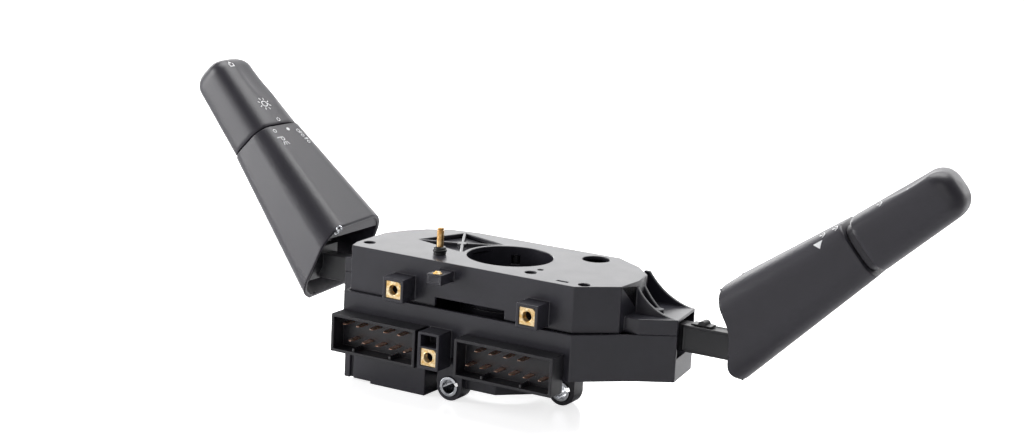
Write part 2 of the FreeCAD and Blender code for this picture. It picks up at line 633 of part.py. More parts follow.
def lever_arm(frame, side, arm_y, seam):
    """Steel-cored arm: a tang in the carrier, a bar through the mouth and a block in the lever."""
    base, axis, across, up = frame
    tang = box(side * (PIVOT_X + 12), side * 95.0, arm_y - TANG_W / 2, arm_y + TANG_W / 2,
               TANG_BOTTOM_Z, TANG_TOP_Z)
    bar = box(side * 92.6, side * 128.0, arm_y - ARM_W / 2, arm_y + ARM_W / 2, ARM_BOTTOM_Z, ARM_TOP_Z)
    block = box(side * 118.0, side * 142.0, arm_y - 14, arm_y + 9, ARM_BOTTOM_Z - 1, ARM_TOP_Z + 4)
    web = box(side * 122.0, side * 142.0, arm_y - 14, 42.0, ARM_BOTTOM_Z + 2, ARM_BOTTOM_Z + 5)
    seat = Part.makeBox(9, 14, 14, V(0, -7, -7))
    seat.Placement = FreeCAD.Placement(base + axis * (ROD_START - 5), FreeCAD.Rotation(V(1, 0, 0), axis))
    post = box(side * 130.0, side * 141.0, 16.0, 30.0, ARM_BOTTOM_Z + 2, -2.0)
    inside = block.fuse([web, seat, post]).common(lever_cavity(frame, side, seam))
    whole = join(tang, bar, inside)
    bore = rod(ROD_R + SPIGOT_CLEAR, base + axis * (ROD_START - 0.3), base + axis * (ROD_START + 30))
    pitch = rod(PITCH_PIN_R + PIN_CLEAR, (side * PITCH_X, arm_y - 20, PITCH_Z),
                (side * PITCH_X, arm_y + 20, PITCH_Z))
    return drop(whole, bore, pitch, lever_shell(frame, side, seam))


def end_cap(frame, side, seam):
    """Curved cap that closes the upper part of the left lever's base."""
    skin = lever_cavity(frame, side, seam)
    thick = drop(skin, drop(skin, cut_plane(side, 3.0)))
    lower = box(side * 60, side * 160, -40, 90, -80, -9.0)
    return drop(thick, cut_plane(side, 0.8), lower)


# Mechanism in the housing

def carrier(side, arm_y):
    """Yaw block on the upright pin, with two cheeks that hold the arm's pitch pin."""
    x = side * PIVOT_X
    hub = rod(CARRIER_R, (x, arm_y, CARRIER_BOTTOM_Z), (x, arm_y, CARRIER_TOP_Z))
    beam = box(x, side * (PITCH_X + 3.6), arm_y - ARM_W / 2, arm_y + ARM_W / 2, ARM_BOTTOM_Z, ARM_TOP_Z)
    gap = box(side * (PIVOT_X + 10), side * (PITCH_X + 9), arm_y - TANG_W / 2 - CHEEK_GAP,
              arm_y + TANG_W / 2 + CHEEK_GAP, ARM_BOTTOM_Z - 1, ARM_TOP_Z + 1)
    peg = rod(PEG_R, (x, arm_y - PEG_ARM, SLIDER_TOP_Z - SLIDER_H + 0.4),
              (x, arm_y - PEG_ARM, CARRIER_BOTTOM_Z + 4))
    peg_arm = box(x - 3, x + 3, arm_y - PEG_ARM - 2.5, arm_y, CARRIER_BOTTOM_Z + 0.4, CARRIER_BOTTOM_Z + 4)
    body = join(hub, beam, peg_arm, peg)
    pin = rod(PIN_R + PIN_CLEAR, (x, arm_y, CARRIER_BOTTOM_Z - 1), (x, arm_y, CARRIER_TOP_Z + 1))
    pitch = rod(PITCH_PIN_R, (side * PITCH_X, arm_y - 20, PITCH_Z), (side * PITCH_X, arm_y + 20, PITCH_Z))
    well = rod(PLUNGER_R + PIN_CLEAR, (x - side * 4.6, arm_y, PITCH_Z), (x - side * 20, arm_y, PITCH_Z))
    return drop(body, pin, gap, pitch, well)


def pitch_pin(side, arm_y):
    y0, y1 = arm_y - ARM_W / 2, arm_y + ARM_W / 2
    return rod(PITCH_PIN_R, (side * PITCH_X, y0 + 0.3, PITCH_Z), (side * PITCH_X, y1 - 0.3, PITCH_Z))


def pivot_pin(side, arm_y):
    x = side * PIVOT_X
    return rod(PIN_R, (x, arm_y, FLOOR_Z + WALL), (x, arm_y, -WALL))


def detent_plunger(side, arm_y):
    x = side * PIVOT_X
    tip = PLUNGER_OUT - PLUNGER_R
    shaft = rod(PLUNGER_R, (x - side * 8.0, arm_y, PITCH_Z), (x - side * tip, arm_y, PITCH_Z))
    nose = Part.makeSphere(PLUNGER_R, V(x - side * tip, arm_y, PITCH_Z))
    return join(shaft, nose)


def detent_spring(side, arm_y):
    x = side * PIVOT_X
    return coil(1.3, 0.25, 3.2, 3, (x - side * 4.7, arm_y, PITCH_Z), (-side, 0, 0))


def detent_track(side, arm_y):
    """Curved track, concentric with the pivot, with notches that the plunger drops into."""
    x = side * PIVOT_X
    inner = PLUNGER_OUT + TRACK_GAP
    ring = tube(inner + TRACK_THICK, inner, (x, arm_y, FLOOR_Z + WALL), (x, arm_y, -20.0))
    keep = box(x - side * 8.5, x - side * 20, arm_y - TRACK_HALF, arm_y + TRACK_HALF, FLOOR_Z, 0)
    return ring.common(keep)


def contact_board(side, arm_y):
    x = side * PIVOT_X
    top = FLOOR_Z + WALL + BOARD_T
    y = arm_y - PEG_ARM
    return box(x - side * 8, x + side * 6, y - 6, y + 6, FLOOR_Z + WALL, top)


def slider(side, arm_y):
    """Contact carriage that the carrier's peg pushes along X."""
    x = side * PIVOT_X
    y = arm_y - PEG_ARM
    bottom = SLIDER_TOP_Z - SLIDER_H
    body = box(x - side * 6.4, x + side * 3.2, y - 4.4, y + 3.4, bottom, SLIDER_TOP_Z)
    slot = box(x - PEG_R - 0.1, x + PEG_R + 0.1, y - 2.6, y + 2.8, bottom - 1, SLIDER_TOP_Z + 1)
    return drop(body, slot)


def slider_contacts(side, arm_y):
    """Two sprung brass wipers under the carriage."""
    x = side * PIVOT_X
    y = arm_y - PEG_ARM
    bottom = SLIDER_TOP_Z - SLIDER_H
    board_top = FLOOR_Z + WALL + BOARD_T
    wipers = []
    for dy in (-3.7, 3.1):
        strip = box(x - side * 6.0, x + side * 1.0, y + dy - 0.3, y + dy + 0.3, bottom - 0.5, bottom)
        leg = box(x - side * 3.0, x - side * 1.8, y + dy - 0.3, y + dy + 0.3, board_top + 0.1, bottom)
        wipers.append(join(strip, leg))
    return wipers


def turned(shape):
    shape.rotate(V(0, 0, 0), V(0, 0, 1), PAWL_ANGLE)
    return shape


def cancel_pawl():
    """Finger that slides into the bore to meet the column's cam while a turn signal is on."""
    tip = BORE_R + PAWL_SET_BACK + PAWL_W / 2
    finger = box(tip, BORE_R + PAWL_LENGTH, -PAWL_W / 2, PAWL_W / 2, PAWL_BOTTOM_Z, PAWL_TOP_Z)
    nose = rod(PAWL_W / 2, (tip, 0, PAWL_BOTTOM_Z), (tip, 0, PAWL_TOP_Z))
    return turned(join(finger, nose))


def pawl_window():
    side = PAWL_W / 2 + PAWL_PLAY
    end = BORE_R + PAWL_LENGTH + PAWL_SPRING
    return turned(box(BORE_R - 4, end, -side, side, PAWL_BOTTOM_Z - PAWL_PLAY, PAWL_TOP_Z + PAWL_PLAY))


def pawl_guide():
    """Channel behind the bore wall that the pawl slides in, part of the upper shell."""
    side = PAWL_W / 2 + 1.6
    end = BORE_R + PAWL_LENGTH + PAWL_SPRING + 1.2
    return turned(box(BORE_R + 1.0, end, -side, side, PAWL_BOTTOM_Z - 1.8, -1.0))


def pawl_spring():
    mid = (PAWL_TOP_Z + PAWL_BOTTOM_Z) / 2
    return turned(coil(1.2, 0.25, PAWL_SPRING, 4, (BORE_R + PAWL_LENGTH, 0, mid), (1, 0, 0)))


def arm_clip():
    """Black spring clip that sits on the right arm outside its sleeve."""
    y0, y1 = RIGHT_ARM_Y - 2.5, RIGHT_ARM_Y + 3.5
    base = box(101.0, 112.0, y0, y1, ARM_TOP_Z, ARM_TOP_Z + 0.9)
    hump = rod(2.2, (107.0, y0, ARM_TOP_Z + 0.6), (107.0, y1, ARM_TOP_Z + 0.6))
    hump = hump.common(box(100, 115, y0 - 1, y1 + 1, ARM_TOP_Z, ARM_TOP_Z + 5))
    return join(base, hump)


def housing_screws():
    """Self-tapping screws that hold the lower shell to the upper one, from below."""
    screws = []
    for x, y in SHELL_SCREWS:
        head = rod(SCREW_HEAD_R, (x, y, FLOOR_Z - SCREW_HEAD_H), (x, y, FLOOR_Z))
        shank = rod(SCREW_SHANK_R, (x, y, FLOOR_Z), (x, y, PARTING_Z + SCREW_BITE))
        screws.append(join(head, shank))
    return screws


def screw_posts(z0, z1, radius):
    return [rod(radius, (x, y, z0), (x, y, z1)) for x, y in SHELL_SCREWS]


def finish_upper(body):
    body = join(body, pawl_guide(), *screw_posts(PARTING_Z, -WALL, SCREW_POST_R))
    return drop(body, pawl_window(), *screw_posts(PARTING_Z - 1, PARTING_Z + SCREW_BITE, SCREW_SHANK_R))


def finish_lower(body):
    body = join(body, *screw_posts(FLOOR_Z + 0.5, PARTING_Z, SCREW_POST_R))
    return drop(body, *screw_posts(FLOOR_Z - 1, PARTING_Z + 1, SCREW_SHANK_R))


def main():
    os.makedirs("parts", exist_ok=True)
    left = frame_of(LEFT_BASE, LEFT_SWEEP, LEFT_RISE, -1)
    right = frame_of(RIGHT_BASE, RIGHT_SWEEP, RIGHT_RISE, 1)
    left_rows = blade_rows()[:2]
    right_rows = blade_rows()[2:]
    save("upper_housing", finish_upper(upper_housing()))
    save("lower_housing", finish_lower(lower_housing()))
    save("left_plug_socket", plug_socket(*PLUG_LEFT_X, row_places(left_rows)))
    save("right_plug_socket", plug_socket(*PLUG_RIGHT_X, row_places(right_rows)))
    save("left_blades", *tapered_blades(row_places(left_rows)))
    save("right_blades", *tapered_blades(row_places(right_rows)))
    save("cowl_nuts", *cowl_nuts())
    save("lug_bushes", *lug_bushes())
    save("housing_screws", *housing_screws())
    save("horn_guide", horn_guide())
    save("horn_pin", horn_pin())
    save("horn_spring", horn_spring())
    save("horn_terminal", horn_terminal())
    save("cancel_pawl", cancel_pawl())
    save("pawl_spring", pawl_spring())
    save("arm_clip", arm_clip())
    for name, side, arm_y, frame, seam in (("left", -1, LEFT_ARM_Y, left, LEFT_SEAM),
                                           ("right", 1, RIGHT_ARM_Y, right, RIGHT_SEAM)):
        save(name + "_pivot_pin", pivot_pin(side, arm_y))
        save(name + "_pitch_pin", pitch_pin(side, arm_y))
        save(name + "_carrier", carrier(side, arm_y))
        save(name + "_detent_plunger", detent_plunger(side, arm_y))
        save(name + "_detent_spring", detent_spring(side, arm_y))
        save(name + "_detent_track", detent_track(side, arm_y))
        save(name + "_slider", slider(side, arm_y))
        save(name + "_slider_contacts", *slider_contacts(side, arm_y))
        save(name + "_contact_board", contact_board(side, arm_y))
        save(name + "_arm", lever_arm(frame, side, arm_y, seam))
        save(name + "_lever", lever_shell(frame, side, seam))
        save(name + "_knob", knob(frame, seam))
        save(name + "_knob_rod", knob_rod(frame))
    save("left_end_cap", end_cap(left, -1, LEFT_SEAM))


main()
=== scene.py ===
import bpy
import bmesh
import json
import math
from mathutils import Matrix, Vector

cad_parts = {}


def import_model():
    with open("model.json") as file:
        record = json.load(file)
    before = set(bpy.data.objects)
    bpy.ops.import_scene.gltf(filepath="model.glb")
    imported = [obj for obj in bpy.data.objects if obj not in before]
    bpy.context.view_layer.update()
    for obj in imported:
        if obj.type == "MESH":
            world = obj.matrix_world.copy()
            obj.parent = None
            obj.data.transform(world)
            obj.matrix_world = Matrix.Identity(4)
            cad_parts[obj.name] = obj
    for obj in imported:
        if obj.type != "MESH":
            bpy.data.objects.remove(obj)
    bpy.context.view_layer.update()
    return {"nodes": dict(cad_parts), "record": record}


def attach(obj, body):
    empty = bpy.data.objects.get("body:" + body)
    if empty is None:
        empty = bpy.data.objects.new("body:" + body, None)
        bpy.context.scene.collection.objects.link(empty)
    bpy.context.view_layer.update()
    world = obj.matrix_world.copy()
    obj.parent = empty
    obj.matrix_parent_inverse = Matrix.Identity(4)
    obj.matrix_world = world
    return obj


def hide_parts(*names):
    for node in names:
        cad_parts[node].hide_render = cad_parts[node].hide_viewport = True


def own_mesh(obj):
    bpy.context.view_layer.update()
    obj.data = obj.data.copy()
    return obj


# Combination stalk switch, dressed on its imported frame. Lengths are metres unless a name says mm.

MM = 0.001
FLOOR_Z = -70.5 * MM

# Moulded and turned edges, as their real radii
SHELL_EDGE_MM = 0.45
SOCKET_EDGE_MM = 0.3
STALK_EDGE_MM = 0.9
METAL_EDGE_MM = 0.15
EDGE_SEGMENTS = 2
SMOOTH_ANGLE = math.radians(32)
FLAT_ANGLE = math.radians(1.5)
FLAT_WEIGHT = 90
MERGE_MM = 0.002
FACING = 0.9

# Photographer's camera
CAMERA_AT = (0.53579, -0.94167, 0.25656)
CAMERA_RIGHT = (0.86257, 0.50344, 0.05010)
CAMERA_UP = (-0.15027, 0.16038, 0.97555)
CAMERA_BACK = (0.48310, -0.84901, 0.21399)
LENS_MM = 77.4
SENSOR_MM = 36.0
CLIP_START = 0.05

# Stalks: base point, sweep and rise in degrees, side; half heights and half widths at seam and tip
LEVER_LEN_MM = 87.0
TIP_LEN_MM = 139.0
RING_HALF_MM = (14.9, 18.0)
TIP_HALF_MM = (12.3, 14.0)
LEFT_STALK = ((-111.4, 22.4, -27.6), 4.9, 43.8, -1)
RIGHT_STALK = ((112.4, 24.4, -25.2), 7.1, 39.7, 1)

# End knobs: seam steps are distance and drawn-in amount, cap steps are lift and share that is left
SECTION_POWER = 3.4
SECTION_POINTS = 96
SEAM_STEPS_MM = ((0.0, 1.0), (0.25, 0.35), (0.9, 0.0))
GRIP_STEPS = 28
TIP_STEPS = 10
TIP_ROUND_MM = 9.0
CAP_STEPS = ((0.25, 0.6), (0.12, 0.2))
LEFT_NECK_MM = 0.0
RIGHT_NECK_MM = 3.5
NECK_INSET_MM = 2.5
NECK_GAP_MM = 0.1
SCOOP_AT_MM = 119.0
SCOOP_LONG_MM = 18.0
SCOOP_WIDE_MM = 8.5
SCOOP_DEEP_MM = 1.6
SCOOP_FACE_SHARE = 0.55
LEFT_SCOOP_ACROSS_MM = 5.5
RIGHT_SCOOP_ACROSS_MM = -3.0

# Mouth of the right lever as an outline in x and z
RIGHT_MOUTH_MM = ((95, 60), (111.3, 60), (111.6, 14), (112.4, 6), (113.8, -0.5), (116.6, -6.5),
                  (120.2, -12), (122.8, -18), (123.6, -24), (123.6, -33), (124.0, -37), (126.0, -40.5),
                  (131, -44), (138, -70), (95, -70))
RIGHT_MOUTH_Y_MM = (-20, 80)
CORNER_CUTS = 2
CORNER_SHARE = 0.25

# Bare bar of the right arm
ARM_BARE_MM = (98.5, 124.0)
ARM_GAP_Y_MM = (-30, 80)
ARM_GAP_Z_MM = (-60, 20)
ARM_LAP_MM = 1.0
ARM_Y_MM = (1.2, 10.2)
ARM_Z_MM = (-32.0, -18.6)
ARM_MARGIN_MM = 1.0
ARM_GROOVE_MM = (0.25, 0.35)
ARM_EDGE_MM = 0.25

# Little terminal socket: brass nib on top and recessed front
NIB_AT_MM = (-15.2, -44.4, -3.3)
NIB_SIZE_MM = (4.2, 2.2, 0.8)
NIB_MARGIN_MM = 0.6
NIB_STEP_MM = (0.3, 0, 0.7)
NIB_EDGE_MM = 0.15
COVER_AT_MM = (-16.2, -45.6, -6.3)
COVER_SIZE_MM = (6.8, 0.9, 3.8)
COVER_MARGIN_MM = 0.7
COVER_GROOVE_MM = (0.2, 0.25)
COVER_EDGE_MM = 0.12

# Round fittings: two radii, then segments round the ring and round the wire
BEAD_AT_MM = (-29.2, -20.5, 2.0)
BEAD_RADII_MM = (2.75, 0.9)
BEAD_SEGMENTS = (40, 14)
THREAD_WIRE_MM = 0.26
THREAD_SEGMENTS = (36, 8)
THREAD_TURN_DEG = (90, 0, 0)
THREAD_RINGS_MM = ((0.05, 2.85), (0.7, 2.68), (1.5, 2.68), (2.3, 2.68), (3.1, 2.68))
NUT_FACE_MM = {
    "left_nut_thread": (-40.5, -44.8, -16.0),
    "right_nut_thread": (36.5, -44.8, -16.0),
    "centre_nut_thread": (-16.6, -47.6, -46.0),
}
CLIP_AT_MM = (-107.8, 3.2, -4.0)
CLIP_STEP_MM = (1.0, 0.0, 1.1)
CLIP_RADII_MM = (1.25, 0.4)
CLIP_SEGMENTS = (28, 10)
CLIP_TURN_DEG = (62, 0, 24)

# Blade tips: length of the draw-in, and shares of width and thickness left at the end
TIP_RUN_MM = 1.3
TIP_WIDTH_LEFT = 0.62
TIP_THICK_LEFT = 0.35
TIP_SLACK_MM = 0.01

# Springs: joint, axis, fixed end in mm, share of the length that is left at the limit
SPRINGS = {
    "horn_spring": ("horn_press", (0, 0, 1), (-29.2, -20.5, -18.8), 0.727),
    "left_detent_spring": ("left_detent", (1, 0, 0), (-61.3, 9.6, -25.2), 0.625),
    "right_detent_spring": ("right_detent", (1, 0, 0), (61.3, 5.7, -25.2), 0.625),
}

# Printed ink
INK_LIFT_MM = 0.12
INK_THICK_MM = 0.12
INK_CUTS = 2
RAY_START_MM = 60

# Studio: each softbox is name, place, aim, size in metres, watts
FLOOR_SIZE = 6.0
FLOOR_GLOW = 0.75
MATTE_SHARE = 0.4
SOFTBOXES = (
    ("overhead softbox", (-0.1, 0.5, 1.0), (0, 0, 0), (1.2, 0.8), 15),
    ("rear softbox", (-0.4, 1.5, 0.42), (0, 0, 0), (2.6, 0.7), 9),
    ("left rear strip", (-1.4, 0.95, 0.25), (0.1, 0, 0), (0.7, 0.8), 10),
    ("front softbox", (0.9, -1.0, 0.9), (0, 0, 0), (0.8, 0.6), 2),
    ("left strip", (-1.25, -0.65, 0.3), (-0.15, 0, 0), (0.6, 0.9), 13),
)


def linear(code):
    """sRGB hex to linear RGBA."""
    out = []
    for i in (1, 3, 5):
        c = int(code[i:i + 2], 16) / 255
        out.append(c / 12.92 if c <= 0.04045 else ((c + 0.055) / 1.055) ** 2.4)
    return (*out, 1.0)


def metres(values_mm):
    return [value * MM for value in values_mm]


# Materials

def add(tree, kind, settings=None, links=None):
    """One node with its settings and the sockets that feed it."""
    made = tree.nodes.new(kind)
    for key, value in (settings or {}).items():
        if key in made.inputs.keys():
            made.inputs[key].default_value = value
        else:
            setattr(made, key, value)
    for key, source in (links or {}).items():
        tree.links.new(source, made.inputs[key])
    return made


def blank(name):
    mat = bpy.data.materials.new(name)
    mat.use_nodes = True
    mat.node_tree.nodes.clear()
    return mat, mat.node_tree


def noise(tree, place, size_mm, detail, roughness=0.5):
    """Noise whose patches have a real size."""
    settings = {"Scale": 1 / (size_mm * MM), "Detail": detail, "Roughness": roughness}
    return add(tree, "ShaderNodeTexNoise", settings, {"Vector": place}).outputs["Fac"]


def two_tones(tree, factor, stops, codes):
    """Colour that runs from the first code to the second between two stops."""
    ramp = add(tree, "ShaderNodeValToRGB", links={"Fac": factor})
    for element, stop, code in zip(ramp.color_ramp.elements, stops, codes):
        element.position = stop
        element.color = linear(code)
    return ramp.outputs["Color"]


def spread(tree, value, taken, given):
    """Maps the range taken onto the range given."""
    settings = {"From Min": taken[0], "From Max": taken[1], "To Min": given[0], "To Max": given[1]}
    return add(tree, "ShaderNodeMapRange", settings, {"Value": value}).outputs["Result"]


def bumps(tree, height, strength, distance_mm):
    settings = {"Strength": strength, "Distance": distance_mm * MM}
    return add(tree, "ShaderNodeBump", settings, {"Height": height}).outputs["Normal"]


def surface(tree, settings, links):
    """The shader at the end of a material."""
    shader = add(tree, "ShaderNodeBsdfPrincipled", settings, links)
    add(tree, "ShaderNodeOutputMaterial", links={"Surface": shader.outputs["BSDF"]})


def moulded_plastic(name, tones, rough, grain_mm, grain_depth, mottle_mm=14.0):
    """Injection-moulded plastic: spark-eroded grain and slow changes of sheen where it was handled."""
    mat, tree = blank(name)
    place = add(tree, "ShaderNodeTexCoord").outputs["Object"]
    mottle = noise(tree, place, mottle_mm, 2.0)
    grain = noise(tree, place, grain_mm, 3.0, 0.7)
    surface(tree, {"IOR": 1.52}, {
        "Base Color": two_tones(tree, mottle, (0.1, 0.9), tones),
        "Roughness": spread(tree, mottle, (0.1, 0.9), rough),
        "Normal": bumps(tree, grain, grain_depth, 0.1),
    })
    return mat


def bright_metal(name, tones, rough, spot_mm):
    """Bare or plated metal: faint tarnish spots and a fine brushed grain."""
    mat, tree = blank(name)
    place = add(tree, "ShaderNodeTexCoord").outputs["Object"]
    spots = noise(tree, place, spot_mm, 4.0, 0.65)
    fine = noise(tree, place, 0.25, 2.0)
    surface(tree, {"Metallic": 1.0}, {
        "Base Color": two_tones(tree, spots, (0.38, 0.62), tones),
        "Roughness": spread(tree, spots, (0.0, 1.0), rough),
        "Normal": bumps(tree, fine, 0.12, 0.05),
    })
    return mat


def ink(name, tones):
    """Pad-printed ink: flat colour, slightly worn."""
    mat, tree = blank(name)
    place = add(tree, "ShaderNodeTexCoord").outputs["Object"]
    wear = noise(tree, place, 0.6, 3.0)
    surface(tree, {"Roughness": 0.45}, {"Base Color": two_tones(tree, wear, (0.2, 0.42), tones)})
    return mat


def plastics():
    """Each row: slot, name, two tones, range of roughness, grain in mm and its depth."""
    rows = (
        # glass-filled PBT, moulded: charcoal with a soft sheen
        ("housing", "glass-filled PBT, moulded", ("#27262d", "#2f2e36"), (0.27, 0.34), 0.3, 0.12),
        ("plug_plastic", "PBT socket, moulded", ("#151419", "#1d1c22"), (0.34, 0.44), 0.3, 0.2),
        # ABS, moulded with a fine spark-eroded grain: satin grey black that lifts to pale grey in the light
        ("stalk_plastic", "ABS, fine-grained", ("#29272e", "#34323a"), (0.34, 0.44), 0.22, 0.3, 30.0),
        ("black_plastic", "acetal, moulded", ("#101012", "#1a1a1c"), (0.3, 0.42), 0.3, 0.15),
        ("arm_plastic", "glass-filled nylon, moulded", ("#151518", "#222226"), (0.33, 0.48), 0.35, 0.3),
        ("board", "phenolic board, pressed", ("#5e3f1e", "#7a5529"), (0.35, 0.5), 0.5, 0.2),
    )
    return {slot: moulded_plastic(*row) for slot, *row in rows}


def metals():
    """Each row: slot, name, two tones, range of roughness, size of the tarnish spots in mm."""
    rows = (
        ("brass", "brass, machined", ("#dcb168", "#fae8c2"), (0.34, 0.48), 2.5),
        ("copper", "beryllium copper, turned", ("#b98a50", "#e6c48e"), (0.24, 0.36), 3.0),
        ("tinned_blade", "brass blade, tin flashed", ("#e2ab90", "#fbdccb"), (0.3, 0.42), 2.0),
        ("plated_steel", "spring steel, bright zinc", ("#b8bbc0", "#eceef2"), (0.1, 0.2), 4.0),
        ("spring_steel", "spring wire, drawn", ("#8d9196", "#c3c6ca"), (0.2, 0.32), 1.5),
        ("steel_pin", "steel, ground", ("#85888c", "#b4b7bb"), (0.18, 0.3), 3.0),
    )
    return {slot: bright_metal(*row) for slot, *row in rows}


def finishes():
    """Materials by the record's slots."""
    mats = {**plastics(), **metals()}
    mats["ink"] = ink("white ink, printed", ("#b9b9bd", "#f4f4f6"))
    return mats


# Carried-over shells with their real edges

def edge_of(node):
    """Edge radius in mm for a CAD node."""
    if node in ("upper_housing", "lower_housing"):
        return SHELL_EDGE_MM
    if node.endswith(("_lever", "_knob")):
        return STALK_EDGE_MM
    if node.endswith(("socket", "_arm", "_carrier", "clip", "_cap", "guide")):
        return SOCKET_EDGE_MM
    return METAL_EDGE_MM


def edge_bevel(made, radius_mm):
    edges = made.modifiers.new("edges", "BEVEL")
    edges.width = radius_mm * MM
    edges.segments = EDGE_SEGMENTS
    edges.limit_method = "ANGLE"
    edges.angle_limit = SMOOTH_ANGLE
    return edges


def carried_over(name, thing, finish, flat=False):
    """Copy of a CAD node's mesh in its place, with merged points and its finish."""
    mesh = thing.data.copy()
    mesh.transform(thing.matrix_world)
    made = bpy.data.objects.new(name, mesh)
    bpy.context.collection.objects.link(made)
    work = bmesh.new()
    work.from_mesh(mesh)
    bmesh.ops.remove_doubles(work, verts=work.verts, dist=MERGE_MM * MM)
    if flat:
        bmesh.ops.dissolve_limit(work, angle_limit=FLAT_ANGLE, verts=work.verts, edges=work.edges)
    for face in work.faces:
        face.smooth = True
    work.to_mesh(mesh)
    work.free()
    mesh.materials.clear()
    mesh.materials.append(finish)
    return made


def dressed(node, thing, body, finish):
    """A CAD node with its flat faces merged and its edges rounded."""
    shaped = carried_over(node + "_skin", thing, finish, flat=True)
    edges = edge_bevel(shaped, edge_of(node))
    edges.use_clamp_overlap = False
    edges.harden_normals = True
    flat_faces = shaped.modifiers.new("flat faces", "WEIGHTED_NORMAL")
    flat_faces.weight = FLAT_WEIGHT
    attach(shaped, body)
    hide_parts(node)
    return shaped


def spring(node, thing, body, finish):
    """A coil spring, carried over from its CAD node onto its body; one listed in SPRINGS gets a mesh of its
    own.
    """
    coil = carried_over(node + "_coil", thing, finish)
    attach(coil, body)
    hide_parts(node)
    if node not in SPRINGS:
        return
    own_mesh(coil)


def dress_all(frame, mats):
    """Dresses every CAD node except the end knobs, which are built anew."""
    record = frame["record"]
    slots = {row["node"]: row["material_slot"] for row in record["subparts"]}
    home = {n: body for body, nodes in record["behaviour"]["bodies"].items() for n in nodes}
    skins = {}
    for node, thing in frame["nodes"].items():
        if node.endswith("_knob"):
            continue
        if node.endswith("spring"):
            spring(node, thing, home[node], mats["spring_steel"])
            continue
        skins[node] = dressed(node, thing, home[node], mats[slots[node]])
    return skins


# End knobs, swept ring by ring from the seam to a soft tip

def oblong(angle, half_w, half_h):
    """Point of the stalk's soft rectangular section."""
    c, q = math.cos(angle), math.sin(angle)
    x = math.copysign(abs(c) ** (2 / SECTION_POWER), c) * half_w
    y = math.copysign(abs(q) ** (2 / SECTION_POWER), q) * half_h
    return x, y


def knob_half(along):
    """Half width and half height of a knob at a distance along its stalk."""
    k = (along - LEVER_LEN_MM) / (TIP_LEN_MM - LEVER_LEN_MM)
    w = RING_HALF_MM[1] + (TIP_HALF_MM[1] - RING_HALF_MM[1]) * k
    h = RING_HALF_MM[0] + (TIP_HALF_MM[0] - RING_HALF_MM[0]) * k
    return w, h


def knob_stations(neck):
    """Distance along the stalk and the amount by which the section is drawn in."""
    rings = []
    if neck:
        rings += [(LEVER_LEN_MM - neck, NECK_INSET_MM), (LEVER_LEN_MM - NECK_GAP_MM, NECK_INSET_MM)]
    rings += [(LEVER_LEN_MM + step, drawn) for step, drawn in SEAM_STEPS_MM]
    full = rings[-1][0]
    straight = TIP_LEN_MM - TIP_ROUND_MM
    for i in range(1, GRIP_STEPS + 1):
        rings.append((full + (straight - full) * i / GRIP_STEPS, 0.0))
    for i in range(1, TIP_STEPS + 1):
        turn = math.radians(90 * i / TIP_STEPS)
        rings.append((straight + TIP_ROUND_MM * math.sin(turn), TIP_ROUND_MM * (1 - math.cos(turn))))
    return rings


def swept_knob(name, neck):
    """Knob grown along Z from its first ring, each ring extruded and then resized."""
    bpy.ops.object.select_all(action="DESELECT")
    bpy.ops.mesh.primitive_circle_add(vertices=SECTION_POINTS, radius=1.0)
    made = bpy.context.object
    made.name = name
    rings = knob_stations(neck)
    along, drawn = rings[0]
    w, h = knob_half(along)
    for i, v in enumerate(made.data.vertices):
        x, y = oblong(2 * math.pi * i / SECTION_POINTS, w - drawn, h - drawn)
        v.co = (x * MM, y * MM, along * MM)
    bpy.ops.object.mode_set(mode="EDIT")
    bpy.ops.mesh.select_all(action="SELECT")
    for next_along, next_drawn in rings[1:]:
        next_w, next_h = knob_half(next_along)
        step = (next_along - along) * MM
        bpy.ops.mesh.extrude_edges_move(TRANSFORM_OT_translate={"value": (0, 0, step)})
        grow = ((next_w - next_drawn) / (w - drawn), (next_h - next_drawn) / (h - drawn), 1.0)
        bpy.ops.transform.resize(value=grow, center_override=(0, 0, next_along * MM))
        along, drawn, w, h = next_along, next_drawn, next_w, next_h
    for lift, shrink in CAP_STEPS:
        bpy.ops.mesh.extrude_edges_move(TRANSFORM_OT_translate={"value": (0, 0, lift * MM)})
        bpy.ops.transform.resize(value=(shrink, shrink, 1.0), center_override=(0, 0, (along + lift) * MM))
        along += lift
    bpy.ops.mesh.edge_face_add()
    bpy.ops.mesh.select_all(action="SELECT")
    bpy.ops.mesh.normals_make_consistent(inside=False)
    bpy.ops.object.mode_set(mode="OBJECT")
    return made


def thumb_scoop(made, across_mm):
    """Shallow leaf-shaped hollow in the upper face of a knob."""
    for v in made.data.vertices:
        along = v.co.z / MM
        if v.co.y < SCOOP_FACE_SHARE * knob_half(along)[1] * MM:
            continue
        lengthwise = (along - SCOOP_AT_MM) / SCOOP_LONG_MM
        sideways = (v.co.x / MM - across_mm) / SCOOP_WIDE_MM
        reach = lengthwise ** 2 + sideways ** 2
        if reach < 1:
            v.co.y -= SCOOP_DEEP_MM * MM * (1 - reach)


def end_knob(node, stalk, neck, scoop_across, body, finish):
    """A turning end knob, built along Z and then laid along its stalk."""
    made = swept_knob(node + "_grip", neck)
    thumb_scoop(made, scoop_across)
    bpy.ops.object.shade_smooth_by_angle(angle=SMOOTH_ANGLE)
    base, axis, across, up = stalk_frame(stalk)
    if across.cross(up).dot(axis) < 0:
        across.negate()
        for v in made.data.vertices:
            v.co.x = -v.co.x
        made.data.flip_normals()
    turn = Matrix((across, up, axis)).transposed().to_4x4()
    made.data.transform(Matrix.Translation(base) @ turn)
    made.data.materials.append(finish)
    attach(made, body)
    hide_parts(node)
    return made


# Slanting base of the right lever

